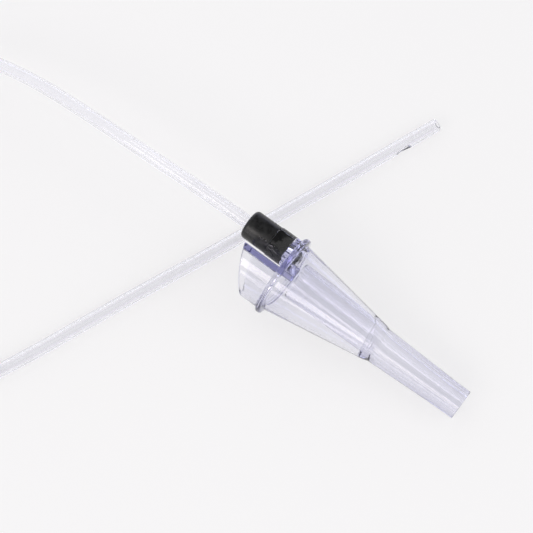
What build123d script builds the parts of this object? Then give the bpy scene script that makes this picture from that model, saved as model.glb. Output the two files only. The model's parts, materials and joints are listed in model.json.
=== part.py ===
from build123d import *
import os
from math import atan2, degrees, radians, tan

# Suction catheter with a clear thumb-control connector, at its real size in millimetres.
#
# The connector is drawn in its own frame: x runs along its axis towards the nozzle's tip, with
# x = 0 on the glue line of the flange, and y runs from the axis towards the catheter's socket.
# resting_pose() then rolls it about its axis, tips it until the flange and the nozzle both touch
# the table, and puts the middle of its box at the origin, with z = 0 on the table.

# Flange: two bonded halves, one on each moulding
FLANGE_R = 10.45
FLANGE_HALF = 0.7
RIM_ROUND = 0.5

# Cone, from the flange to the step where the nozzle begins
CONE_WIDE_R = 9.1
CONE_NARROW_R = 4.75
CONE_WALL = 0.9
CONE_LEAST_WALL = 0.5
CAVITY_END_X = 24.3
STEP_X = 27.2
EDGE_ROUND = 0.25

# Nozzle beyond the step
NOZZLE_BACK_R = 4.45
NOZZLE_TIP_R = 3.75
NOZZLE_TIP_X = 51.4
NOZZLE_LAND = 4.0
BORE_START_X = 30.0
BORE_START_R = 3.15
BORE_TIP_R = 2.4
BORE_LAND = 5.0

# Inner tube: the nozzle carried on inside the cone, a little nearer the socket
INNER_TUBE_X = 2.9
INNER_TUBE_Y = 1.0
INNER_TUBE_END_Y = 0.55
INNER_TUBE_R = 4.65
INNER_TUBE_END_R = 4.2
INNER_BORE_BACK_R = 3.7
INNER_BORE_END_R = 3.35

# Rounds on the moulded edges of the front moulding
MOULD_ROUND = 0.3

# Thumb port: a D-shaped hood with a slanted, slightly bowed open end
HOOD_R = 9.65
HOOD_WALL = 1.0
SHELF_TOP_Y = 1.3
SHELF_THICK = 1.4
HOOD_LONG_X = -10.7
HOOD_SHORT_X = -5.5
HOOD_BOW = 0.4
PORT_R = 7.9

# Socket for the catheter, beside the thumb port
SOCKET_Y = 5.4
SOCKET_R = 3.9
SOCKET_MOUTH_X = -6.8
SOCKET_END_X = 0.95
SOCKET_LUMEN_R = 1.2
FIT_GAP = 0.03

# Lug behind the flange, between the shelf and the socket, with the pip of the mould's gate
LUG_END_X = 2.5
LUG_TOP_Y = 3.6
LUG_HALF_WIDTH = 3.2
LUG_ROUND = 0.4
PIP_R = 0.45
PIP_LENGTH = 0.3

# Colour-coded coupler: radius and end of each step, from the cap inwards
CAP_R = 3.7
CAP_BACK_X = -14.05
CAP_ROUND = 0.9
CAP_FRONT_X = SOCKET_MOUTH_X - 0.05
PLUG_R = 2.85
PLUG_END_X = -2.4
BOSS_R = 2.36
BOSS_END_X = -1.2
NOSE_R = 1.9
NOSE_END_X = 0.4
STEP_GAP = 0.1
COUPLER_CHAMFER = 0.15

# Catheter, 10 French, bonded in the coupler
TUBE_R = 1.665
TUBE_BORE_R = 1.1
BOND_LENGTH = 11.0
TIP_LENGTH = 20.0
TIP_ROUND = 0.5
EYE_FROM_END = 11.3
EYE_LENGTH = 3.9
EYE_WIDTH = 1.9
EYE_TURN = 98.0

# How the connector lies: rolled about its own axis, then tipped on to flange and nozzle
ROLL = 21.5
TIP_DOWN = degrees(atan2(FLANGE_R - NOZZLE_TIP_R, NOZZLE_TIP_X - FLANGE_HALF))

# Route of the catheter in the row's frame, after its straight start out of the coupler. It sags
# on to the table, makes one open loop and comes back under itself along the table.
STRAIGHT_OUT = 9.0
ROUTE = [
    (-62.0, 4.9, 16.2),
    (-81.0, 5.55, 15.3),
    (-99.5, 6.2, 13.3),
    (-119.0, 4.3, 10.2),
    (-137.5, -4.5, 6.6),
    (-150.8, -22.0, 3.8),
    (-155.3, -43.5, 2.2),
    (-149.0, -65.5, 1.69),
    (-132.5, -82.0, 1.69),
    (-110.5, -90.0, 1.69),
    (-88.5, -86.5, 1.69),
    (-70.6, -74.2, 1.69),
    (-60.0, -55.6, 1.69),
    (-48.9, -26.4, 1.69),
    (-34.9, 7.4, 1.69),
    (-21.67, 41.76, 1.69),
]


def turned(points, rounds):
    """Solid of revolution about x from an (x, radius) outline with its corners rounded."""
    outline = FilletPolyline(*points, radius=rounds, close=True)
    return revolve(make_face(outline.edges()), Axis.X)


def across(x, y, radius):
    """Round face square to the connector's axis."""
    return Plane(origin=(x, y, 0), x_dir=(0, 1, 0), z_dir=(1, 0, 0)) * Circle(radius)


def rod(radius, x_from, x_to, y=0.0):
    """Cylinder along x."""
    return extrude(across(x_from, y, radius), x_to - x_from)


def cone_radius(x):
    """Outer radius of the cone's wall."""
    slope = (CONE_WIDE_R - CONE_NARROW_R) / (STEP_X - FLANGE_HALF)
    return CONE_WIDE_R - slope * (x - FLANGE_HALF)


def nozzle_cone():
    """Rear moulding: half the flange, the cone, and the nozzle with its inner tube."""
    outline = [
        ((0, 0), 0),
        ((0, FLANGE_R), 0),
        ((FLANGE_HALF, FLANGE_R), RIM_ROUND),
        ((FLANGE_HALF, CONE_WIDE_R), RIM_ROUND),
        ((STEP_X, CONE_NARROW_R), EDGE_ROUND),
        ((STEP_X, NOZZLE_BACK_R), 0),
        ((NOZZLE_TIP_X - NOZZLE_LAND, NOZZLE_TIP_R), 0),
        ((NOZZLE_TIP_X, NOZZLE_TIP_R), EDGE_ROUND),
        ((NOZZLE_TIP_X, 0), 0),
    ]
    points, rounds = zip(*outline)
    return turned(points, rounds) - (cone_cavity() - inner_tube()) - suction_bore()


def cone_cavity():
    """Hollow of the cone, open at the flange, with a wall that thins towards its end."""
    mouth_r = cone_radius(0) - CONE_WALL
    end_r = cone_radius(CAVITY_END_X) - CONE_LEAST_WALL
    return turned([(0, 0), (0, mouth_r), (CAVITY_END_X, end_r), (CAVITY_END_X, 0)], [0] * 4)


def inner_tube():
    """Outside of the tube that runs back from the nozzle into the hollow, with a rounded end."""
    free_end = across(INNER_TUBE_X, INNER_TUBE_Y, INNER_TUBE_R)
    root = across(CAVITY_END_X, INNER_TUBE_END_Y, INNER_TUBE_END_R)
    tube = loft([free_end, root])
    return fillet(tube.edges().sort_by(Axis.X)[0], EDGE_ROUND)


def suction_bore():
    """Passage through the inner tube, which shifts to the nozzle's own axis at the step."""
    open_end = across(INNER_TUBE_X, INNER_TUBE_Y, INNER_BORE_BACK_R)
    root = across(CAVITY_END_X, INNER_TUBE_END_Y, INNER_BORE_END_R)
    clear_of_flange = rod(INNER_BORE_BACK_R, 0, INNER_TUBE_X, INNER_TUBE_Y)
    inside_tube = clear_of_flange + loft([open_end, root])
    shift = loft([root, across(BORE_START_X, 0, BORE_START_R)])
    in_nozzle = turned(
        [
            (BORE_START_X, 0),
            (BORE_START_X, BORE_START_R),
            (NOZZLE_TIP_X - BORE_LAND, BORE_TIP_R),
            (NOZZLE_TIP_X, BORE_TIP_R),
            (NOZZLE_TIP_X, 0),
        ],
        [0] * 5,
    )
    return inside_tube + shift + in_nozzle


def hood():
    """D-shaped duct around the connector's axis, below the shelf, cut to its slanted end."""
    long_side = HOOD_LONG_X - 2 * HOOD_BOW
    shell = rod(HOOD_R, long_side, 0) - rod(HOOD_R - HOOD_WALL, long_side, -FLANGE_HALF)
    below_shelf = Pos(0, SHELF_TOP_Y - HOOD_R, 0) * Box(4 * HOOD_R, 2 * HOOD_R, 2 * HOOD_R)
    shelf_middle = SHELF_TOP_Y - SHELF_THICK / 2
    shelf = Pos(long_side / 2, shelf_middle, 0) * Box(-long_side, SHELF_THICK, 2 * HOOD_R)
    duct = (shell & below_shelf) + (shelf & rod(HOOD_R, long_side, 0))
    duct &= slanted_end()
    return duct.fillet(MOULD_ROUND, [edge for edge in duct.edges() if edge.center().X < -FLANGE_HALF])


def slanted_end():
    """Block that keeps what lies on the flange's side of the hood's slanted end."""
    top = (HOOD_LONG_X, SHELF_TOP_Y)
    bottom = (HOOD_SHORT_X, -HOOD_R)
    middle_x = (HOOD_LONG_X + HOOD_SHORT_X) / 2 - HOOD_BOW
    middle_y = (SHELF_TOP_Y - HOOD_R) / 2
    end = ThreePointArc(top, (middle_x, middle_y), bottom)
    rest = Polyline(bottom, (HOOD_SHORT_X, -2 * HOOD_R), (1, -2 * HOOD_R), (1, SHELF_TOP_Y), top)
    return extrude(make_face(end.edges() + rest.edges()), HOOD_R + 1, both=True)


def port_housing():
    """Front moulding: half the flange, the thumb-port hood and the catheter's socket."""
    disc = turned(
        [(-FLANGE_HALF, 0), (-FLANGE_HALF, FLANGE_R), (0, FLANGE_R), (0, 0)],
        [0, RIM_ROUND, 0, 0],
    )
    port = rod(PORT_R, -FLANGE_HALF, 0)
    shelf_bottom = SHELF_TOP_Y - SHELF_THICK
    port &= Pos(0, shelf_bottom - FLANGE_R, 0) * Box(4, 2 * FLANGE_R, 2 * FLANGE_R)
    body = disc + hood() - port + socket() + socket_end() + lug()
    for radius, x_from, x_to in (
        (PLUG_R, SOCKET_MOUTH_X, PLUG_END_X + STEP_GAP),
        (BOSS_R, PLUG_END_X, BOSS_END_X + STEP_GAP),
        (NOSE_R, BOSS_END_X, NOSE_END_X + STEP_GAP),
        (SOCKET_LUMEN_R, NOSE_END_X, SOCKET_END_X),
    ):
        body -= rod(radius + FIT_GAP, x_from, x_to, SOCKET_Y)
    return body


def socket():
    """Outside of the catheter's socket, with a rounded mouth."""
    outline = [(SOCKET_MOUTH_X, 0), (SOCKET_MOUTH_X, SOCKET_R), (0, SOCKET_R), (0, 0)]
    return Pos(0, SOCKET_Y, 0) * turned(outline, [0, MOULD_ROUND, 0, 0])


def socket_end():
    """End wall of the socket behind the flange, trimmed to the inside of the cone."""
    mouth_r, end_r = [cone_radius(x) - CONE_WALL - FIT_GAP for x in (0, SOCKET_END_X)]
    cone_inside = turned([(0, 0), (0, mouth_r), (SOCKET_END_X, end_r), (SOCKET_END_X, 0)], [0] * 4)
    return rod(SOCKET_R, -FLANGE_HALF, SOCKET_END_X, SOCKET_Y) & (
        cone_inside + rod(FLANGE_R, -FLANGE_HALF, 0)
    )


def lug():
    """Rounded block behind the flange, between the shelf and the socket, with the gate's pip."""
    bottom = SHELF_TOP_Y - SHELF_THICK
    middle = (bottom + LUG_TOP_Y) / 2
    section = Plane(origin=(0, middle, 0), x_dir=(0, 1, 0), z_dir=(1, 0, 0)) * RectangleRounded(
        LUG_TOP_Y - bottom, 2 * LUG_HALF_WIDTH, LUG_ROUND
    )
    return extrude(section, LUG_END_X) + rod(PIP_R, 0, LUG_END_X + PIP_LENGTH, middle)


def colour_coupler():
    """Black stepped plug whose rounded cap butts against the socket; the catheter is its core."""
    outline = [
        ((CAP_BACK_X, TUBE_R), 0),
        ((CAP_BACK_X, CAP_R), CAP_ROUND),
        ((CAP_FRONT_X, CAP_R), COUPLER_CHAMFER),
        ((CAP_FRONT_X, PLUG_R), 0),
        ((PLUG_END_X, PLUG_R), COUPLER_CHAMFER),
        ((PLUG_END_X, BOSS_R), 0),
        ((BOSS_END_X, BOSS_R), COUPLER_CHAMFER),
        ((BOSS_END_X, NOSE_R), 0),
        ((NOSE_END_X, NOSE_R), COUPLER_CHAMFER),
        ((NOSE_END_X, TUBE_BORE_R), 0),
        ((CAP_BACK_X + BOND_LENGTH, TUBE_BORE_R), 0),
        ((CAP_BACK_X + BOND_LENGTH, TUBE_R), 0),
    ]
    points, rounds = zip(*outline)
    return Pos(0, SOCKET_Y, 0) * turned(points, rounds)


def resting_pose():
    """Location that lays the connector on the table with the middle of its box at x = y = 0."""
    turn = Rot(0, TIP_DOWN, 0) * Rot(ROLL, 0, 0)
    pieces = [turn * piece for piece in (nozzle_cone(), port_housing(), colour_coupler())]
    box = Compound(pieces).bounding_box()
    middle = box.center()
    return Pos(-middle.X, -middle.Y, -box.min.Z) * turn


def bend_radii(points):
    """Arc radius at each inner point: 0.45 of the shorter run over the tangent of half the turn."""
    radii = []
    for before, corner, after in zip(points, points[1:], points[2:]):
        run_in = corner - before
        run_out = after - corner
        shorter = min(run_in.length, run_out.length)
        radii.append(0.45 * shorter / tan(radians(run_in.get_angle(run_out)) / 2))
    return radii


def catheter_tube(points):
    """Extruded clear tube: straight runs joined by arcs, from inside the coupler to the tip."""
    radii = bend_radii(points)
    path = FilletPolyline(*points, radius=radii)
    section = Plane(origin=path @ 0, z_dir=path % 0) * (Circle(TUBE_R) - Circle(TUBE_BORE_R))
    tube = sweep(section, path=path)
    expected = path.length * (Circle(TUBE_R).area - Circle(TUBE_BORE_R).area)
    print("bend radii", [round(radius, 1) for radius in radii])
    print("tube length", round(path.length, 2), "volume / expected", round(tube.volume / expected, 5))
    return tube


def catheter_tip():
    """Last stretch of the catheter along +x from x = 0: open rounded end and one side eye."""
    tip = turned(
        [(0, TUBE_BORE_R), (0, TUBE_R), (TIP_LENGTH, TUBE_R), (TIP_LENGTH, TUBE_BORE_R)],
        [0, 0, TIP_ROUND, 0],
    )
    eye = Rot(EYE_TURN, 0, 0) * Pos(TIP_LENGTH - EYE_FROM_END, 0, 0) * SlotOverall(EYE_LENGTH, EYE_WIDTH)
    return tip - extrude(eye, 2 * TUBE_R)


def at_run_end(start, end):
    """Location at end, with x along the run from start to end and z as near up as it can be."""
    along = (end - start).normalized()
    return Location(Plane(origin=end, x_dir=along, z_dir=along.cross(Vector(0, 0, 1)).cross(along)))


def build():
    """Every node of the part by name, in the row's frame."""
    pose = resting_pose()
    bond = (pose * Pos(CAP_BACK_X + BOND_LENGTH, SOCKET_Y, 0)).position
    coupler_exit = (pose * Pos(CAP_BACK_X, SOCKET_Y, 0)).position
    outwards = (coupler_exit - bond).normalized()
    points = [bond, coupler_exit + outwards * STRAIGHT_OUT] + [Vector(*point) for point in ROUTE]
    print("coupler exit", coupler_exit)
    return {
        "nozzle_cone": pose * nozzle_cone(),
        "port_housing": pose * port_housing(),
        "colour_coupler": pose * colour_coupler(),
        "catheter_tube": catheter_tube(points),
        "catheter_tip": at_run_end(points[-2], points[-1]) * catheter_tip(),
    }


os.makedirs("parts", exist_ok=True)
for node, shape in build().items():
    export_step(shape, f"parts/{node}.step")
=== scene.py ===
import json
import math

import bmesh
import bpy
import numpy as np
from mathutils import Matrix, Vector


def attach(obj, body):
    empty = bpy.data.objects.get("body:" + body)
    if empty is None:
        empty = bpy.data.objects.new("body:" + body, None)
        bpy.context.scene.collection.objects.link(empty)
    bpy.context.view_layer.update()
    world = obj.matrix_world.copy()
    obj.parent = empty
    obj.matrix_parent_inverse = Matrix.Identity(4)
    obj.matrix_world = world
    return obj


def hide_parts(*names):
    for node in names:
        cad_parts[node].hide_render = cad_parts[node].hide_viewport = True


# Looks for the suction catheter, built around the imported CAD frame. The scene is in metres; the
# connector, the coupler and the tube's sections are drawn in millimetres and scaled as they are placed.
MM = 0.001

# Camera: the photograph's angle, on a long lens
CAMERA_AZIMUTH = math.radians(36.04)
CAMERA_ELEVATION = math.radians(64.0)
CAMERA_DISTANCE = 0.45
CAMERA_TARGET = Vector((-0.0263, 0.0038, 0.0))
SENSOR_WIDTH = 36.0
LENS = 125.4

# Most of a side that the rounding of one of its corners may take up
SIDE_SHARE = 0.49

# Connector, in its own frame: x along its axis, y towards the catheter's socket
ROLL = math.radians(21.5)
JOIN_DEPTH = 0.35
JOIN_STEP = 0.03
JOIN_ROUND = 0.3
FLANGE_R = 10.45
FLANGE_HALF = 0.7
RIM_ROUND = 0.5
CONE_WIDE_R = 9.1
CONE_NARROW_R = 4.75
CONE_WALL = 0.9
CONE_LEAST_WALL = 0.5
CAVITY_END_X = 24.3
CONE_ROOT_ROUND = 0.3
POCKET_DIP = 1.0
POCKET_ROUND = 0.06
PINCH_GAP = 0.1
STEP_X = 27.2
STEP_SLOPE = 0.6
STEP_ROUND = 0.9
PORT_R = 7.9
MOUTH_BLEND_X = 7.0
MOUTH_ROUND = 1.2
NOZZLE_BACK_R = 4.45
NOZZLE_TIP_R = 3.75
NOZZLE_TIP_X = 51.4
NOZZLE_LAND = 4.0
NOZZLE_TIP_ROUND = 0.22
BORE_START_X = 30.0
BORE_START_R = 3.15
BORE_TIP_R = 2.4
BORE_LAND = 5.0
BORE_TIP_ROUND = 0.15
INNER_TUBE_X = 2.9
INNER_TUBE_Y = 1.0
INNER_TUBE_END_Y = 0.55
INNER_TUBE_R = 4.65
INNER_TUBE_END_R = 4.2
INNER_BORE_BACK_R = 3.7
INNER_BORE_END_R = 3.35
INNER_TUBE_ROUND = 0.25
FLASH_HEIGHT = 0.02
FLASH_TURN = math.radians(0.9)
FLASH_CUTS = (0.5, 1.0, 1.8)
CONNECTOR_COLUMNS = 96
EDGE_ANGLE = math.radians(35)
WELD = 1e-7

# Colour-coded coupler. Its plug is in optical contact with the socket, so it reaches a hair into it.
SOCKET_Y = 5.4
CAP_R = 3.7
CAP_DRAFT = 0.04
CAP_BACK_X = -14.05
CAP_FRONT_X = -6.85
CAP_ROUND = 0.9
CAP_EDGE_ROUND = 0.18
CAP_BORE_ROUND = 0.15
PLUG_R = 2.885
PLUG_END_X = -2.4
BOSS_R = 2.36
BOSS_END_X = -1.2
NOSE_R = 1.9
NOSE_END_X = 0.4
NOSE_ROUND = 0.2
NOSE_BORE_ROUND = 0.1
SHOULDER_ROUND = 0.15
FOOT_ROUND = 0.05
CAP_FOOT_ROUND = 0.04
BOND_LENGTH = 11.0
CONTACT = 0.005
COUPLER_COLUMNS = 72

# Catheter: 10 French tube, from its bonded end inside the coupler to its open tip
TUBE_R = 1.665
TUBE_BORE_R = 1.1
TIP_ROUND = 0.5
TIP_RINGS = 6
BORE_ROUND = 0.08
TUBE_COLUMNS = 40
ROW_STEP = 1.1
TIP_ROWS = 16
TANGENT_REACH = 1.2
EYE_FROM_END = 11.3
EYE_LENGTH = 3.9
EYE_WIDTH = 1.9
EYE_TURN = math.radians(98.0)
EYE_SQUARENESS = 2.4
EYE_ROW_STEP = 0.4
EYE_ROWS = 7
# Eye's edge from outside to inside: how far it stands back from the hole, and its depth in the wall
EYE_OUTER_LIP = 0.3
EYE_INNER_LIP = 0.14
EYE_WALL = ((0.17, 0.03), (0.09, 0.09), (0.03, 0.18), (0.0, 0.3), (0.02, 0.42), (0.07, 0.52))
# Rings between the window's border and the lip, as shares of the way
EYE_OUTER_SHARES = (0.4, 0.7, 0.9)
EYE_INNER_SHARES = (0.85, 0.5)
ROUTE_RESOLUTION = 24
ROUTE = [
    (-0.02145, 0.00502, 0.01278),
    (-0.04128, 0.00502, 0.01540),
    (-0.0620, 0.0049, 0.0162),
    (-0.0810, 0.00555, 0.0153),
    (-0.0995, 0.0062, 0.0133),
    (-0.1190, 0.0043, 0.0102),
    (-0.1375, -0.0045, 0.0066),
    (-0.1508, -0.0220, 0.0038),
    (-0.1553, -0.0435, 0.0022),
    (-0.1490, -0.0655, 0.00169),
    (-0.1325, -0.0820, 0.00169),
    (-0.1105, -0.0900, 0.00169),
    (-0.0885, -0.0865, 0.00169),
    (-0.0706, -0.0742, 0.00169),
    (-0.0600, -0.0556, 0.00169),
    (-0.0489, -0.0264, 0.00169),
    (-0.0349, 0.0074, 0.00169),
    (-0.01448, 0.06042, 0.00169),
]

# Clear plastics: the surface's tint, the depth's tint, which takes density * (1 - absorb) of each colour
# in a metre, and a share of haze
CONNECTOR_CLEAR = dict(
    colour=(0.985, 0.985, 0.995), absorb=(0.70, 0.70, 0.84), density=230.0, ior=1.5, haze=0.004
)
TUBE_CLEAR = dict(
    colour=(0.985, 0.985, 1.0), absorb=(0.70, 0.70, 0.90), density=50.0, ior=1.42, haze=0.02
)

CONNECTOR_ROUGHNESS = (0.01, 0.05)
TUBE_ROUGHNESS = (0.01, 0.025)

# Black plastic, fresh and scuffed, in the open and where the socket's wall wets it
BLACK = (0.0045, 0.0045, 0.005, 1)
SCUFFED_BLACK = (0.011, 0.011, 0.0115, 1)
OPEN_FINISH = dict(specular=0.4, smoothest=0.27, roughest=0.42)
WETTED_FINISH = dict(specular=0.0, smoothest=0.5, roughest=0.6)
WETTED_FROM = 0.1

# Marks on the plastics: length, width and depth in metres, and the height of those in relief
FLOW_MARKS = (0.05, 0.0015, 0.0015)
FLOW_HEIGHT = 3e-6
CLEAR_SCUFFS = (0.004, 0.0007, 0.0007)
DIE_LINES = (0.08, 0.0008, 0.0008)
DIE_LINE_HEIGHT = 4e-7
BLOOM = (0.012, 0.0012, 0.0012)
BLACK_SCUFFS = (0.0011, 0.0011, 0.0011)
BLACK_GRAIN = (0.00018, 0.00018, 0.00018)
BLACK_GRAIN_HEIGHT = 4e-6

# Table, which is partly self-lit so that clear plastic doesn't cast an opaque shadow on it
FLOOR_HALF = 3.0
FLOOR_COLOUR = (0.22, 0.22, 0.22, 1)
FLOOR_ROUGHNESS = 0.6
FLOOR_SPECULAR = 0.2
FLOOR_GLOW_COLOUR = (1.0, 0.99, 1.0, 1)
FLOOR_GLOW = 0.69

# Light tent: brightness levels, and heights and widths as parts of a unit direction
TENT_LEVEL = 0.85
TENT_LOW_COLOUR = (0.55, 0.56, 0.80, 1)
TENT_HIGH_COLOUR = (1.0, 1.0, 1.0, 1)
TENT_HIGH_FROM = 0.35
GAP_SHARE = 0.15
GAP_CENTRE_X = -0.08
GAP_EDGE = (0.10, 0.24)
GAP_FRONT = (-0.55, -0.25)
HORIZON_GLOW = 3.0
HORIZON_EDGE = (0.03, 0.17)
HORIZON_FRONT = (-0.35, 0.0)

# Area lights: name, place, size, power in watts, colour
AREA_LIGHTS = [
    ("window", (0.0, -1.00, 0.70), (1.3, 0.42), 6.0, (1.0, 0.93, 0.91)),
    ("window_foot", (0.0, -1.25, 0.16), (1.5, 0.22), 2.9, (1.0, 0.94, 0.92)),
    ("right", (1.12, 0.67, 0.97), (0.9, 0.9), 4.0, (0.97, 0.98, 1.0)),
]

# Bounces that light needs to get through the nested clear walls
CLEAR_BOUNCES = 40
GLOSSY_BOUNCES = 16

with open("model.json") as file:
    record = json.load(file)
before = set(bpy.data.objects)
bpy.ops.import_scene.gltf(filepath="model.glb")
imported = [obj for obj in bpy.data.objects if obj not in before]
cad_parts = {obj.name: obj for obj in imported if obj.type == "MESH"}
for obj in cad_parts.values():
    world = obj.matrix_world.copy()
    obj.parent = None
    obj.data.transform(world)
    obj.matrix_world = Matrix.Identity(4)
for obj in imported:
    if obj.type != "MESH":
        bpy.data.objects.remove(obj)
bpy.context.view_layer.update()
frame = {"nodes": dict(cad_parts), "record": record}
scene = bpy.context.scene


# ---------------------------------------------------------------- camera


def make_camera():
    """Camera at the photograph's angle, looking at a point on the table."""
    look = Vector((
        -math.sin(CAMERA_AZIMUTH) * math.cos(CAMERA_ELEVATION),
        math.cos(CAMERA_AZIMUTH) * math.cos(CAMERA_ELEVATION),
        -math.sin(CAMERA_ELEVATION),
    ))
    data = bpy.data.cameras.new("camera")
    data.sensor_width = SENSOR_WIDTH
    data.lens = LENS
    data.clip_start = 0.01
    data.clip_end = 20.0
    camera = bpy.data.objects.new("camera", data)
    camera.location = CAMERA_TARGET - look * CAMERA_DISTANCE
    camera.rotation_euler = look.to_track_quat("-Z", "Y").to_euler()
    scene.collection.objects.link(camera)
    scene.camera = camera


# ---------------------------------------------------------------- meshes


def mesh_object(name, vertices, faces, smooth=True):
    """Object with a closed mesh whose faces all point outwards."""
    mesh = bpy.data.meshes.new(name)
    mesh.from_pydata([tuple(v) for v in vertices], [], faces)
    work = bmesh.new()
    work.from_mesh(mesh)
    bmesh.ops.recalc_face_normals(work, faces=work.faces)
    work.to_mesh(mesh)
    work.free()
    mesh.polygons.foreach_set("use_smooth", [smooth] * len(mesh.polygons))
    mesh.update()
    piece = bpy.data.objects.new(name, mesh)
    scene.collection.objects.link(piece)
    return piece


def connector_place():
    """Matrix from the connector's own frame, in millimetres, to the row's frame."""
    mounts = {mount["name"]: mount for mount in frame["record"]["mounts"]}
    pin = mounts["nozzle_outside"]
    along = Vector(pin["axis"]).normalized()
    origin = Vector(pin["pos_m"]) - along * (NOZZLE_TIP_X - NOZZLE_LAND / 2) * MM
    level = Vector((0, 0, 1)).cross(along).normalized()
    over = along.cross(level)
    to_socket = math.cos(ROLL) * level + math.sin(ROLL) * over
    turn = Matrix((along, to_socket, along.cross(to_socket))).transposed().to_4x4()
    return Matrix.Translation(origin) @ turn @ Matrix.Scale(MM, 4)


def rounded(corners, steps=4):
    """Points of a closed outline from (x, radius, rounding, cuts) corners.

    A corner's cuts are the extra points on the side that follows it.
    """
    count = len(corners)
    spots = [np.array(corner[:2]) for corner in corners]
    groups = []
    for k, (_, _, rounding, _) in enumerate(corners):
        spot = spots[k]
        back = spots[k - 1] - spot
        ahead = spots[(k + 1) % count] - spot
        room = SIDE_SHARE * min(np.linalg.norm(back), np.linalg.norm(ahead))
        back = back / np.linalg.norm(back)
        ahead = ahead / np.linalg.norm(ahead)
        half = math.acos(np.clip(np.dot(back, ahead), -1, 1)) / 2
        if rounding == 0:
            groups.append([spot])
            continue
        reach = min(rounding / math.tan(half), room)
        radius = reach * math.tan(half)
        middle = back + ahead
        centre = spot + middle / np.linalg.norm(middle) * radius / math.sin(half)
        first = spot + back * reach - centre
        last = spot + ahead * reach - centre
        sweep = math.pi - 2 * half
        shares = [step / steps for step in range(steps + 1)]
        groups.append([
            centre + (math.sin((1 - t) * sweep) * first + math.sin(t * sweep) * last) / math.sin(sweep)
            for t in shares
        ])
    points = []
    for k, group in enumerate(groups):
        points += group
        start = group[-1]
        end = groups[(k + 1) % count][0]
        cuts = corners[k][3]
        points += [start + (end - start) * (cut + 1) / (cuts + 1) for cut in range(cuts)]
    return points


def flash(angle):
    """Height of the fine mould line that runs along both ends of the mirror plane."""
    off = min(abs(math.remainder(angle - end, 2 * math.pi)) for end in (0, math.pi))
    return FLASH_HEIGHT * math.exp(-((off / FLASH_TURN) ** 2))


def turn_angles(count):
    """Even angles about an axis, with closer ones at the mould line."""
    even = [2 * math.pi * k / count for k in range(count)]
    near = [
        (end + sign * step * FLASH_TURN) % (2 * math.pi)
        for end in (0, math.pi)
        for sign in (-1, 1)
        for step in FLASH_CUTS
    ]
    return sorted(set(even + near))


def lathe(name, outline, count, place, centre_y=0.0):
    """Closed mesh made by turning an outline about x. outline(angle) gives (x, radius) points."""
    angles = turn_angles(count)
    columns = [outline(angle) for angle in angles]
    rows = len(columns[0])
    vertices = [
        place @ Vector((x, centre_y + r * math.cos(angle), r * math.sin(angle)))
        for angle, column in zip(angles, columns)
        for x, r in column
    ]
    faces = []
    for j in range(len(angles)):
        here = j * rows
        there = (j + 1) % len(angles) * rows
        for k in range(rows):
            n = (k + 1) % rows
            faces.append((here + k, here + n, there + n, there + k))
    return mesh_object(name, vertices, faces)


# ---------------------------------------------------------------- connector and coupler


def cone_radius(x):
    """Outer radius of the cone's wall."""
    return CONE_WIDE_R - (CONE_WIDE_R - CONE_NARROW_R) / (STEP_X - FLANGE_HALF) * (x - FLANGE_HALF)


def off_axis(radius, shift, angle):
    """Distance from the connector's axis to a circle whose centre is shifted towards the socket."""
    return shift * math.cos(angle) + math.sqrt(radius**2 - (shift * math.sin(angle)) ** 2)


def nozzle_outline(angle):
    """Flange half, cone, step and nozzle outside; bore, inner tube and cavity inside."""
    mouth_r = cone_radius(0) - CONE_WALL
    end_r = cone_radius(CAVITY_END_X) - CONE_LEAST_WALL
    tube_r = off_axis(INNER_TUBE_R, INNER_TUBE_Y, angle)
    root_r = off_axis(INNER_TUBE_END_R, INNER_TUBE_END_Y, angle)
    thinning = (mouth_r - end_r) / CAVITY_END_X
    lean = (tube_r - root_r) / (CAVITY_END_X - INNER_TUBE_X)
    gap_at_start = mouth_r - tube_r - lean * INNER_TUBE_X
    deepest_x = CAVITY_END_X + POCKET_DIP * (1 - math.cos(angle)) / 2
    pocket_x = min(deepest_x, (gap_at_start - PINCH_GAP) / (thinning - lean))
    pocket_r = tube_r - lean * (pocket_x - INNER_TUBE_X)
    line = flash(angle)
    rim_r = FLANGE_R - JOIN_STEP + line
    return rounded([
        (-JOIN_DEPTH, PORT_R + JOIN_STEP, 0, 3),
        (-JOIN_DEPTH, rim_r, 0, 1),
        (FLANGE_HALF, rim_r, RIM_ROUND, 0),
        (FLANGE_HALF, CONE_WIDE_R + line, CONE_ROOT_ROUND, 12),
        (STEP_X - STEP_SLOPE, cone_radius(STEP_X - STEP_SLOPE) + line, STEP_ROUND, 2),
        (STEP_X + STEP_SLOPE, NOZZLE_BACK_R + line, STEP_ROUND, 10),
        (NOZZLE_TIP_X - NOZZLE_LAND, NOZZLE_TIP_R + line, 0, 2),
        (NOZZLE_TIP_X, NOZZLE_TIP_R, NOZZLE_TIP_ROUND, 0),
        (NOZZLE_TIP_X, BORE_TIP_R, BORE_TIP_ROUND, 2),
        (NOZZLE_TIP_X - BORE_LAND, BORE_TIP_R, 0, 8),
        (BORE_START_X, BORE_START_R, 0, 4),
        (CAVITY_END_X, off_axis(INNER_BORE_END_R, INNER_TUBE_END_Y, angle), 0, 10),
        (INNER_TUBE_X, off_axis(INNER_BORE_BACK_R, INNER_TUBE_Y, angle), INNER_TUBE_ROUND, 0),
        (INNER_TUBE_X, tube_r, INNER_TUBE_ROUND, 10),
        (pocket_x, pocket_r, POCKET_ROUND, 0),
        (pocket_x, mouth_r - thinning * pocket_x, POCKET_ROUND, 12),
        (MOUTH_BLEND_X, mouth_r - thinning * MOUTH_BLEND_X, MOUTH_ROUND, 3),
        (JOIN_DEPTH, PORT_R + JOIN_STEP, JOIN_ROUND, 1),
    ])


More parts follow.
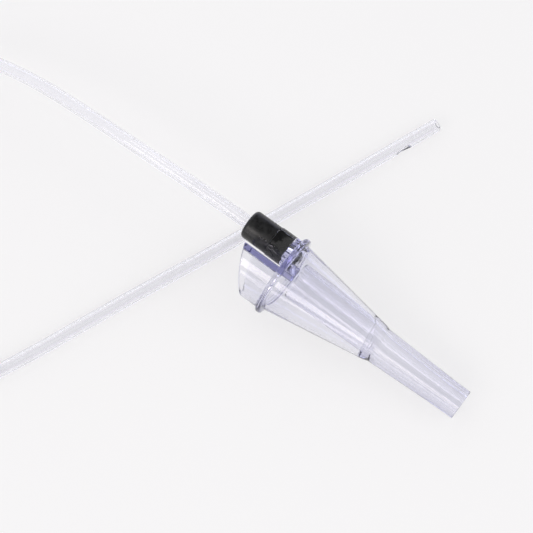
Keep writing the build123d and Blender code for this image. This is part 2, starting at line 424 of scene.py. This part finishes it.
def coupler_outline(angle):
    """Stepped plug with a rounded cap, around the tube that is bonded in it."""
    line = flash(angle)
    bond_end = CAP_BACK_X + BOND_LENGTH
    return rounded([
        (CAP_BACK_X, TUBE_R - CONTACT, CAP_BORE_ROUND, 3),
        (CAP_BACK_X, CAP_R - CAP_DRAFT + line, CAP_ROUND, 6),
        (CAP_FRONT_X, CAP_R + line, CAP_EDGE_ROUND, 1),
        (CAP_FRONT_X, PLUG_R, CAP_FOOT_ROUND, 4),
        (PLUG_END_X, PLUG_R, SHOULDER_ROUND, 0),
        (PLUG_END_X, BOSS_R, FOOT_ROUND, 1),
        (BOSS_END_X, BOSS_R, SHOULDER_ROUND, 0),
        (BOSS_END_X, NOSE_R, FOOT_ROUND, 1),
        (NOSE_END_X, NOSE_R, NOSE_ROUND, 0),
        (NOSE_END_X, TUBE_BORE_R, NOSE_BORE_ROUND, 2),
        (bond_end, TUBE_BORE_R, 0, 0),
        (bond_end, TUBE_R - CONTACT, 0, 6),
    ], steps=6)


def weld(mesh):
    """Join the points of a mesh that lie in the same place."""
    work = bmesh.new()
    work.from_mesh(mesh)
    bmesh.ops.remove_doubles(work, verts=work.verts, dist=WELD)
    bmesh.ops.dissolve_degenerate(work, edges=work.edges, dist=WELD)
    work.to_mesh(mesh)
    work.free()


def joined(name, first, second):
    """One closed mesh from two pieces that are bonded, with crisp edges and even flat faces."""
    union = first.modifiers.new("bond", "BOOLEAN")
    union.operation = "UNION"
    union.solver = "EXACT"
    union.object = second
    bpy.context.view_layer.update()
    solid = bpy.data.meshes.new_from_object(first.evaluated_get(bpy.context.evaluated_depsgraph_get()))
    bpy.data.objects.remove(first)
    bpy.data.objects.remove(second)
    weld(solid)
    solid.polygons.foreach_set("use_smooth", [True] * len(solid.polygons))
    solid.set_sharp_from_angle(angle=EDGE_ANGLE)
    body = bpy.data.objects.new(name, solid)
    scene.collection.objects.link(body)
    even = body.modifiers.new("even", "WEIGHTED_NORMAL")
    even.keep_sharp = True
    return body


def make_mouldings(place):
    """The two bonded clear mouldings in one mesh."""
    cone = lathe("nozzle_and_cone", nozzle_outline, CONNECTOR_COLUMNS, place)
    front = bpy.data.objects.new("front", frame["nodes"]["port_housing"].data.copy())
    scene.collection.objects.link(front)
    weld(front.data)
    piece = joined("connector_mouldings", cone, front)
    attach(piece, "connector")
    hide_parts("nozzle_cone", "port_housing")
    return piece


def make_coupler(place):
    """The coupler as a turned mesh."""
    piece = lathe("coupler", coupler_outline, COUPLER_COLUMNS, place, SOCKET_Y)
    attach(piece, "catheter")
    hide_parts("colour_coupler")
    return piece


# ---------------------------------------------------------------- catheter


def smooth_route(points):
    """Points along the NURBS spline that has the route's points as its control points."""
    curve = bpy.data.curves.new("route", "CURVE")
    curve.dimensions = "3D"
    curve.resolution_u = ROUTE_RESOLUTION
    spline = curve.splines.new("NURBS")
    spline.points.add(len(points) - 1)
    for control, point in zip(spline.points, points):
        control.co = (*point, 1.0)
    spline.order_u = 3
    spline.use_endpoint_u = True
    holder = bpy.data.objects.new("route", curve)
    line = bpy.data.meshes.new_from_object(holder)
    found = [vertex.co.copy() for vertex in line.vertices]
    bpy.data.objects.remove(holder)
    bpy.data.curves.remove(curve)
    bpy.data.meshes.remove(line)
    return found


class Centreline:
    """The tube's centreline, read by distance along it in millimetres."""

    def __init__(self, points):
        self.points = np.array([tuple(point) for point in points])
        steps = np.linalg.norm(np.diff(self.points, axis=0), axis=1)
        self.at = np.concatenate([[0.0], np.cumsum(steps)]) / MM
        self.length = float(self.at[-1])

    def place(self, distance):
        """Point on the centreline."""
        return Vector([float(np.interp(distance, self.at, self.points[:, k])) for k in range(3)])

    def wall(self, distance, angle, radius):
        """Point at an angle from the top of the tube, on a circle about the centreline."""
        back = self.place(max(0.0, distance - TANGENT_REACH))
        ahead = self.place(min(self.length, distance + TANGENT_REACH))
        along = (ahead - back).normalized()
        side = Vector((0, 0, 1)).cross(along).normalized()
        over = along.cross(side)
        return self.place(distance) + radius * MM * (math.cos(angle) * over - math.sin(angle) * side)


def tube_rows(length):
    """Distances of the rings, and the numbers of the first and last ones at the eye.

    The rings are wide apart, then close and even at the eye, and then run up to the rim.
    """
    eye = length - EYE_FROM_END
    window = [eye + EYE_ROW_STEP * k for k in range(-EYE_ROWS, EYE_ROWS + 1)]
    start = list(np.linspace(0.0, window[0], int(window[0] / ROW_STEP)))[:-1]
    tail = list(np.linspace(window[-1], length - TIP_ROUND, TIP_ROWS))[1:]
    return start + window + tail, len(start), len(start) + len(window) - 1


def eye_point(across, along, grow, radius):
    """Distance and angle from the eye's middle of a point on its edge, at a radius."""
    size = (abs(across) ** EYE_SQUARENESS + abs(along) ** EYE_SQUARENESS) ** (1 / EYE_SQUARENESS)
    flat = (EYE_WIDTH / 2 + grow) * across / size
    return (EYE_LENGTH / 2 + grow) * along / size, math.asin(flat / radius)


class TubeMesh:
    """Tube and tip in one hollow mesh, with a rounded open end and a side eye with a soft lip.

    Columns are counted from the eye's middle, and the eye's window spans a quarter turn each side.
    """

    def __init__(self, line):
        self.line = line
        self.rows, self.first, self.last = tube_rows(line.length)
        self.quarter = TUBE_COLUMNS // 4
        self.vertices = []
        self.straight = []
        self.faces = []
        outer = self.wall(TUBE_R)
        inner = self.wall(TUBE_BORE_R)
        self.join(outer[0], inner[0])
        rim = self.rim()
        for low, high in zip([outer[-1]] + rim, rim + [inner[-1]]):
            self.join(low, high)
        self.cut_eye(outer, inner)

    def add(self, distance, angle, radius):
        """Number of a new point. Its place along and around the straightened tube is kept too."""
        self.vertices.append(self.line.wall(distance, EYE_TURN + angle, radius))
        flat = (distance * MM, radius * MM * math.cos(angle), radius * MM * math.sin(angle))
        self.straight.append(flat)
        return len(self.vertices) - 1

    def join(self, low, high):
        """Faces between two closed rings."""
        for k in range(len(low)):
            n = (k + 1) % len(low)
            self.faces.append((low[k], low[n], high[n], high[k]))

    def ring(self, distance, radius, window=()):
        """Ring of points, with None in place of those that fall inside the eye's window."""
        return [
            None if k in window else self.add(distance, 2 * math.pi * k / TUBE_COLUMNS, radius)
            for k in range(TUBE_COLUMNS)
        ]

    def wall(self, radius):
        """Rings and faces of one side of the wall, left open at the eye's window."""
        inside = {k % TUBE_COLUMNS for k in range(1 - self.quarter, self.quarter)}
        rings = [
            self.ring(distance, radius, inside if self.first < i < self.last else ())
            for i, distance in enumerate(self.rows)
        ]
        window = {k % TUBE_COLUMNS for k in range(-self.quarter, self.quarter)}
        for i, (low, high) in enumerate(zip(rings, rings[1:])):
            for k in range(TUBE_COLUMNS):
                if self.first <= i < self.last and k in window:
                    continue
                n = (k + 1) % TUBE_COLUMNS
                self.faces.append((low[k], low[n], high[n], high[k]))
        return rings

    def rim(self):
        """Rings over the rounded open end."""
        rings = []
        for step in range(1, TIP_RINGS + 1):
            turn = math.pi / 2 * step / TIP_RINGS
            back = TIP_ROUND * (1 - math.sin(turn))
            rings.append(self.ring(self.line.length - back, TUBE_R - TIP_ROUND * (1 - math.cos(turn))))
        rings.append(self.ring(self.line.length - BORE_ROUND, TUBE_BORE_R))
        return rings

    def cut_eye(self, outer, inner):
        """Rings from the window's border to the lip, through the wall, and out again inside."""
        quarter, first, last = self.quarter, self.first, self.last
        border = [(first, k) for k in range(-quarter, quarter)]
        border += [(i, quarter) for i in range(first, last)]
        border += [(last, k) for k in range(quarter, -quarter, -1)]
        border += [(i, -quarter) for i in range(last, first, -1)]
        eye_at = self.line.length - EYE_FROM_END
        reach = self.rows[last] - eye_at
        spots = [(self.rows[i] - eye_at, 2 * math.pi * k / TUBE_COLUMNS) for i, k in border]

        def lip(grow, radius):
            return [eye_point(angle / (math.pi / 2), along / reach, grow, radius) for along, angle in spots]

        def between(edge, share):
            return [(a + (b - a) * share, c + (d - c) * share) for (a, c), (b, d) in zip(spots, edge)]

        def laid(places, radius):
            return [self.add(eye_at + along, angle, radius) for along, angle in places]

        outside = lip(EYE_OUTER_LIP, TUBE_R)
        inside = lip(EYE_INNER_LIP, TUBE_BORE_R)
        rings = [[outer[i][k % TUBE_COLUMNS] for i, k in border]]
        rings += [laid(between(outside, share), TUBE_R) for share in EYE_OUTER_SHARES]
        rings.append(laid(outside, TUBE_R))
        rings += [laid(lip(grow, TUBE_R - depth), TUBE_R - depth) for grow, depth in EYE_WALL]
        rings.append(laid(inside, TUBE_BORE_R))
        rings += [laid(between(inside, share), TUBE_BORE_R) for share in EYE_INNER_SHARES]
        rings.append([inner[i][k % TUBE_COLUMNS] for i, k in border])
        for low, high in zip(rings, rings[1:]):
            self.join(low, high)


def make_catheter():
    """Tube and tip in one mesh, laid along the route from the coupler."""
    line = Centreline(smooth_route(ROUTE))
    mesh = TubeMesh(line)
    piece = mesh_object("catheter", mesh.vertices, mesh.faces)
    straight = piece.data.attributes.new("straight", "FLOAT_VECTOR", "POINT")
    straight.data.foreach_set("vector", [value for point in mesh.straight for value in point])
    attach(piece, "catheter")
    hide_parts("catheter_tube", "catheter_tip")
    return piece


# ---------------------------------------------------------------- materials


def marks(material, size, turn=(0, 0, 0), laid=None, detail=3.0):
    """Noise whose marks are this long, wide and deep in metres.

    It is laid out in the piece's own space, turned, or by an attribute of its mesh.
    """
    nodes = material.node_tree.nodes
    links = material.node_tree.links
    if laid:
        source = nodes.new("ShaderNodeAttribute")
        source.attribute_name = laid
        where = source.outputs["Vector"]
    else:
        where = nodes.new("ShaderNodeTexCoord").outputs["Object"]
    placed = nodes.new("ShaderNodeMapping")
    placed.vector_type = "TEXTURE"
    placed.inputs["Rotation"].default_value = turn
    placed.inputs["Scale"].default_value = size
    links.new(where, placed.inputs["Vector"])
    noise = nodes.new("ShaderNodeTexNoise")
    noise.inputs["Scale"].default_value = 1.0
    noise.inputs["Detail"].default_value = detail
    links.new(placed.outputs[0], noise.inputs["Vector"])
    return noise.outputs["Fac"]


def spread(material, value, low, high, start=0.35, end=0.65):
    """Noise value from start to end, stretched to run from low to high."""
    stretch = material.node_tree.nodes.new("ShaderNodeMapRange")
    stretch.inputs["From Min"].default_value = start
    stretch.inputs["From Max"].default_value = end
    stretch.inputs["To Min"].default_value = low
    stretch.inputs["To Max"].default_value = high
    material.node_tree.links.new(value, stretch.inputs["Value"])
    return stretch.outputs["Result"]


def relief(material, value, height):
    """Bump of a noise value, this high in metres."""
    bump = material.node_tree.nodes.new("ShaderNodeBump")
    bump.inputs["Strength"].default_value = 1.0
    bump.inputs["Distance"].default_value = height
    links = material.node_tree.links
    links.new(value, bump.inputs["Height"])
    links.new(bump.outputs["Normal"], material.node_tree.nodes["Principled BSDF"].inputs["Normal"])


def clear_material(name, colour, absorb, density, ior, haze):
    """Clear plastic that tints what is seen through it, with a share of haze."""
    material = bpy.data.materials.new(name)
    material.use_nodes = True
    nodes = material.node_tree.nodes
    shader = nodes["Principled BSDF"]
    shader.inputs["Base Color"].default_value = (*colour, 1)
    shader.inputs["IOR"].default_value = ior
    shader.inputs["Transmission Weight"].default_value = 1.0 - haze
    volume = nodes.new("ShaderNodeVolumeAbsorption")
    volume.inputs["Color"].default_value = (*absorb, 1)
    volume.inputs["Density"].default_value = density
    material.node_tree.links.new(volume.outputs[0], nodes["Material Output"].inputs["Volume"])
    return material


def set_roughness(material, value):
    """Roughness that follows a node's output."""
    links = material.node_tree.links
    links.new(value, material.node_tree.nodes["Principled BSDF"].inputs["Roughness"])


def moulded_clear(turn):
    """Rigid polystyrene, with faint flow lines from the gate and handling scuffs."""
    material = clear_material("clear_connector", **CONNECTOR_CLEAR)
    flow = marks(material, FLOW_MARKS, turn)
    scuffs = marks(material, CLEAR_SCUFFS, turn, detail=6.0)
    set_roughness(material, spread(material, scuffs, *CONNECTOR_ROUGHNESS, 0.5, 0.75))
    relief(material, flow, FLOW_HEIGHT)
    return material


def extruded_clear():
    """Soft vinyl, with the fine lengthwise lines that the extrusion die leaves."""
    material = clear_material("clear_tube", **TUBE_CLEAR)
    lines = marks(material, DIE_LINES, laid="straight")
    bloom = marks(material, BLOOM, laid="straight")
    set_roughness(material, spread(material, bloom, *TUBE_ROUGHNESS))
    relief(material, lines, DIE_LINE_HEIGHT)
    return material


def moulded_black(name, specular, smoothest, roughest):
    """Satin black polythene: fine moulded grain, and dull scuffs that are slightly greyer."""
    material = bpy.data.materials.new(name)
    material.use_nodes = True
    nodes = material.node_tree.nodes
    links = material.node_tree.links
    shader = nodes["Principled BSDF"]
    shader.inputs["Specular IOR Level"].default_value = specular
    scuffs = marks(material, BLACK_SCUFFS, detail=5.0)
    worn = spread(material, scuffs, 0.0, 1.0, 0.45, 0.75)
    shade = nodes.new("ShaderNodeMix")
    shade.data_type = "RGBA"
    shade.inputs["A"].default_value = BLACK
    shade.inputs["B"].default_value = SCUFFED_BLACK
    links.new(worn, shade.inputs["Factor"])
    links.new(shade.outputs["Result"], shader.inputs["Base Color"])
    set_roughness(material, spread(material, scuffs, smoothest, roughest, 0.4, 0.7))
    grain = marks(material, BLACK_GRAIN, detail=2.0)
    relief(material, grain, BLACK_GRAIN_HEIGHT)
    return material


def paint(piece, material):
    """The piece's one material."""
    piece.data.materials.clear()
    piece.data.materials.append(material)


def paint_coupler(piece, place):
    """Satin black in the open, and black with no surface gloss where the socket's wall wets it."""
    paint(piece, moulded_black("black_coupler", **OPEN_FINISH))
    piece.data.materials.append(moulded_black("black_in_socket", **WETTED_FINISH))
    along = place.col[0].to_3d()
    socket_starts = place @ Vector((CAP_FRONT_X + WETTED_FROM, SOCKET_Y, 0))
    for face in piece.data.polygons:
        face.material_index = 1 if (socket_starts - face.center).dot(along) < 0 else 0


# ---------------------------------------------------------------- table and light


def make_floor():
    """Plain pale table top, far larger than the view."""
    half = FLOOR_HALF
    floor = mesh_object(
        "floor",
        [(-half, -half, 0), (half, -half, 0), (half, half, 0), (-half, half, 0)],
        [(0, 1, 2, 3)],
        smooth=False,
    )
    material = bpy.data.materials.new("table")
    material.use_nodes = True
    shader = material.node_tree.nodes["Principled BSDF"]
    shader.inputs["Base Color"].default_value = FLOOR_COLOUR
    shader.inputs["Roughness"].default_value = FLOOR_ROUGHNESS
    shader.inputs["Specular IOR Level"].default_value = FLOOR_SPECULAR
    shader.inputs["Emission Color"].default_value = FLOOR_GLOW_COLOUR
    shader.inputs["Emission Strength"].default_value = FLOOR_GLOW
    floor.data.materials.append(material)


def make_world():
    """Light tent: pale all round, bluer low down, and bright along the horizon behind the object.

    A dark gap runs from overhead to the back.
    """
    world = bpy.data.worlds.new("tent")
    scene.world = world
    world.use_nodes = True
    nodes = world.node_tree.nodes
    links = world.node_tree.links
    where = nodes.new("ShaderNodeTexCoord")
    parts = nodes.new("ShaderNodeSeparateXYZ")
    links.new(where.outputs["Generated"], parts.inputs[0])

    def fade(value, edge, low, high):
        ease = nodes.new("ShaderNodeMapRange")
        ease.interpolation_type = "SMOOTHSTEP"
        ease.inputs["From Min"].default_value, ease.inputs["From Max"].default_value = edge
        ease.inputs["To Min"].default_value = low
        ease.inputs["To Max"].default_value = high
        links.new(value, ease.inputs["Value"])
        return ease.outputs["Result"]

    def calculated(operation, *values):
        """Result of a math node whose inputs are other nodes' outputs or plain numbers."""
        step = nodes.new("ShaderNodeMath")
        step.operation = operation
        for socket, value in zip(step.inputs, values):
            if isinstance(value, float):
                socket.default_value = value
            else:
                links.new(value, socket)
        return step.outputs[0]

    ramp = nodes.new("ShaderNodeValToRGB")
    low, high = ramp.color_ramp.elements
    low.position, low.color = 0.0, TENT_LOW_COLOUR
    high.position, high.color = TENT_HIGH_FROM, TENT_HIGH_COLOUR
    links.new(parts.outputs["Z"], ramp.inputs[0])
    sideways = calculated("ABSOLUTE", calculated("ADD", parts.outputs["X"], -GAP_CENTRE_X))
    across_gap = fade(sideways, GAP_EDGE, 1.0, 0.0)
    along_gap = fade(parts.outputs["Y"], GAP_FRONT, 0.0, 1.0)
    gap = calculated("MULTIPLY", across_gap, along_gap)
    tent = fade(gap, (0.0, 1.0), TENT_LEVEL, TENT_LEVEL * GAP_SHARE)
    low_down = fade(parts.outputs["Z"], HORIZON_EDGE, HORIZON_GLOW, 0.0)
    behind = fade(parts.outputs["Y"], HORIZON_FRONT, 0.0, 1.0)
    level = calculated("ADD", tent, calculated("MULTIPLY", low_down, behind))
    links.new(ramp.outputs[0], nodes["Background"].inputs["Color"])
    links.new(level, nodes["Background"].inputs["Strength"])


def make_light(name, place, size, power, colour):
    """Area light that faces the origin."""
    data = bpy.data.lights.new(name, "AREA")
    data.shape = "RECTANGLE"
    data.size, data.size_y = size
    data.energy = power
    data.color = colour
    light = bpy.data.objects.new(name, data)
    light.location = place
    light.rotation_euler = (-Vector(place)).to_track_quat("-Z", "Y").to_euler()
    scene.collection.objects.link(light)


make_camera()
to_row = connector_place()
tube = make_catheter()
mouldings = make_mouldings(to_row)
coupler = make_coupler(to_row)
paint(tube, extruded_clear())
paint(mouldings, moulded_clear(to_row.decompose()[1].to_euler()))
paint_coupler(coupler, to_row)
make_floor()
make_world()
for light_facts in AREA_LIGHTS:
    make_light(*light_facts)
scene.view_settings.view_transform = "Standard"
scene.cycles.max_bounces = CLEAR_BOUNCES
scene.cycles.transmission_bounces = CLEAR_BOUNCES
scene.cycles.glossy_bounces = GLOSSY_BOUNCES
